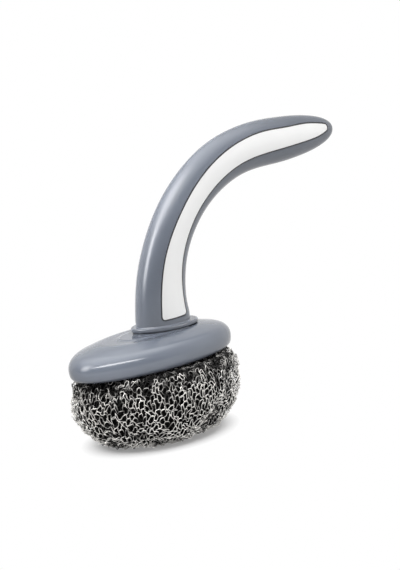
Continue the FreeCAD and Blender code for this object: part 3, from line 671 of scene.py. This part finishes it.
floor_white = bpy.data.materials.new("floor_white")
floor_white.use_nodes = True
tree = floor_white.node_tree
tree.nodes.clear()
seen, _ = seen_rays(tree)
matt = shader(tree, "BsdfDiffuse", {"Color": FLOOR_WHITE})
near_light = shader(tree, "Emission", {"Color": PURE_WHITE, "Strength": product(tree, seen, FLOOR_GLOW)})
near_floor = shader(tree, "AddShader", {0: matt.outputs[0], 1: near_light.outputs[0]})
place = shader(tree, "TexCoord").outputs["Object"]
footing = shader(tree, "VectorMath", {0: place, 1: SHADOW_STRETCH}, operation="MULTIPLY")
distance = shader(tree, "VectorMath", {0: footing.outputs["Vector"]}, operation="LENGTH")
away = spread(tree, distance.outputs["Value"], SHADOW_FADES_FROM, SHADOW_FADES_TO, 0, 1)
far_floor = shader(tree, "Emission", {"Color": PURE_WHITE, "Strength": 1.0})
floor_mix = shader(tree, "MixShader", {0: product(tree, away, seen), 1: near_floor.outputs[0],
                                       2: far_floor.outputs[0]})
from_below = shader(tree, "NewGeometry").outputs["Backfacing"]
clear = shader(tree, "BsdfTransparent")
sided = shader(tree, "MixShader", {0: from_below, 1: floor_mix.outputs[0], 2: clear.outputs[0]})
shader(tree, "OutputMaterial", {"Surface": sided.outputs[0]})
floor_mesh.materials.append(floor_white)

world = bpy.data.worlds.new("surround")
bpy.context.scene.world = world
world.use_nodes = True
tree = world.node_tree
tree.nodes.clear()
seen, straight = seen_rays(tree)
bearing = shader(tree, "TexCoord").outputs["Generated"]
frontal = shader(tree, "VectorMath", {0: bearing, 1: ROOM_FRONT}, operation="DOT_PRODUCT")
room = spread(tree, frontal.outputs["Value"], ROOM_TURNS_FROM, ROOM_TURNS_TO,
              ROOM_BACK_LEVEL, ROOM_FRONT_LEVEL)
mirrored = shader(tree, "Mix", {0: seen, 2: ROOM_LIGHT, 3: room})
level = larger(tree, mirrored.outputs[0], straight)
surround = shader(tree, "Background", {"Color": PURE_WHITE, "Strength": level})
shader(tree, "OutputWorld", {"Surface": surround.outputs[0]})


# Lamps: soft boxes aimed at the object, each behind a diffuser, and most of them linked to a few pieces.
# Some give only their reflection, "shine", and some only their light on the surface, "light".

AIM = Vector((0.0393, 0.0, 0.0777))


def lit_group(name, pieces):
    """A collection of pieces for lamps to be linked to."""
    group = bpy.data.collections.new(name)
    for piece in pieces:
        group.objects.link(piece)
    return group


def soft_edges(lamp, edge):
    """A lamp behind a diffuser, fading over this share of its half size towards its edges."""
    lamp.use_nodes = True
    tree = lamp.node_tree
    tree.nodes.clear()
    across = shader(tree, "NewGeometry").outputs["Parametric"]
    centred = shader(tree, "VectorMath", {0: across, 1: (2, 2, 2), 2: (-1, -1, -1)},
                     operation="MULTIPLY_ADD")
    apart = shader(tree, "VectorMath", {0: centred.outputs["Vector"]}, operation="ABSOLUTE")
    sides = shader(tree, "SeparateXYZ", {0: apart.outputs["Vector"]})
    fades = []
    for side in ("X", "Y"):
        fade = shader(tree, "MapRange", {"Value": sides.outputs[side], "From Min": 1, "From Max": 1 - edge},
                      interpolation_type="SMOOTHSTEP")
        fades.append(fade.outputs["Result"])
    glow = shader(tree, "Emission", {"Strength": product(tree, fades[0], fades[1])})
    shader(tree, "OutputLight", {"Surface": glow.outputs[0]})


def soft_box(name, spot, size, watts, edge, lit=None, gives="both"):
    """A lamp with soft edges, aimed at the object."""
    lamp = bpy.data.lights.new(name, "AREA")
    lamp.shape = "RECTANGLE"
    lamp.size, lamp.size_y = size
    lamp.energy = watts
    soft_edges(lamp, edge)
    holder = bpy.data.objects.new(name, lamp)
    holder.location = spot
    holder.rotation_euler = (AIM - Vector(spot)).to_track_quat("-Z", "Y").to_euler()
    holder.visible_camera = False
    holder.visible_diffuse = gives != "shine"
    holder.visible_glossy = gives != "light"
    if lit:
        holder.light_linking.receiver_collection = lit
    bpy.context.scene.collection.objects.link(holder)


head_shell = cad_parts["head_shell"]
handle_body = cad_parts["handle_body"]
off_head_and_floor = lit_group("off_head_and_floor", [floor, head_shell])
for member in off_head_and_floor.collection_objects:
    member.light_linking.link_state = "EXCLUDE"
on_head = lit_group("on_head", [head_shell] + pad_pieces)
on_handle = lit_group("on_handle", [handle_body])
on_shell = lit_group("on_shell", [head_shell])

soft_box("head_lamp", (-0.53, 0.02, 0.36), (0.46, 0.66), watts=5.4, edge=0.9, lit=on_head)
soft_box("strip_lamp", (-0.34, -0.59, 0.61), (1.4, 0.18), watts=8.6, edge=0.6, lit=on_head)
soft_box("head_fill", (-0.30, -0.75, 0.75), (1.0, 1.0), watts=25.0, edge=0.6,
         lit=on_shell, gives="light")
soft_box("handle_lamp", (-0.53, -0.07, 0.37), (0.38, 0.60), watts=6.2, edge=0.8,
         lit=on_handle, gives="shine")
soft_box("handle_side", (-0.53, 0.33, 0.32), (0.60, 0.60), watts=13.0, edge=0.6,
         lit=on_handle, gives="light")
soft_box("handle_card", (-0.47, 0.05, 0.82), (1.8, 1.0), watts=10.0, edge=0.8,
         lit=on_handle, gives="shine")
soft_box("handle_high", (-0.34, -0.08, 0.72), (0.80, 0.80), watts=7.5, edge=0.8,
         lit=on_handle, gives="shine")
soft_box("bend_fill", (-0.04, -0.09, 0.27), (0.10, 0.10), watts=1.1, edge=0.8,
         lit=on_handle, gives="light")
soft_box("front_lamp", (0.80, -1.00, 0.25), (1.4, 1.4), watts=18.5, edge=0.6, lit=off_head_and_floor)
soft_box("top_lamp", (-0.15, -0.10, 1.20), (3.0, 3.0), watts=52.0, edge=0.8)


# Camera: a long lens a metre off, a little above the object and rolled a few degrees.
# It shows the colours by the plain Standard transform.

CAMERA_DISTANCE = 1.0054
CAMERA_AZIMUTH = math.radians(-37.2)
CAMERA_ELEVATION = math.radians(11.62)
CAMERA_ROLL = math.radians(6.485)
LENS = 111.32
SENSOR_WIDTH = 36

lens = bpy.data.cameras.new("camera")
lens.lens = LENS
lens.sensor_width = SENSOR_WIDTH
camera = bpy.data.objects.new("camera", lens)
bpy.context.scene.collection.objects.link(camera)
flat = math.cos(CAMERA_ELEVATION)
back = Vector((math.sin(CAMERA_AZIMUTH) * flat, -math.cos(CAMERA_AZIMUTH) * flat,
               math.sin(CAMERA_ELEVATION)))
level_right = Vector((math.cos(CAMERA_AZIMUTH), math.sin(CAMERA_AZIMUTH), 0))
level_up = back.cross(level_right)
right = level_right * math.cos(CAMERA_ROLL) - level_up * math.sin(CAMERA_ROLL)
up = level_up * math.cos(CAMERA_ROLL) + level_right * math.sin(CAMERA_ROLL)
turned = Matrix((right, up, back)).transposed().to_4x4()
camera.matrix_world = Matrix.Translation(AIM + back * CAMERA_DISTANCE) @ turned
bpy.context.scene.camera = camera
bpy.context.scene.view_settings.view_transform = "Standard"
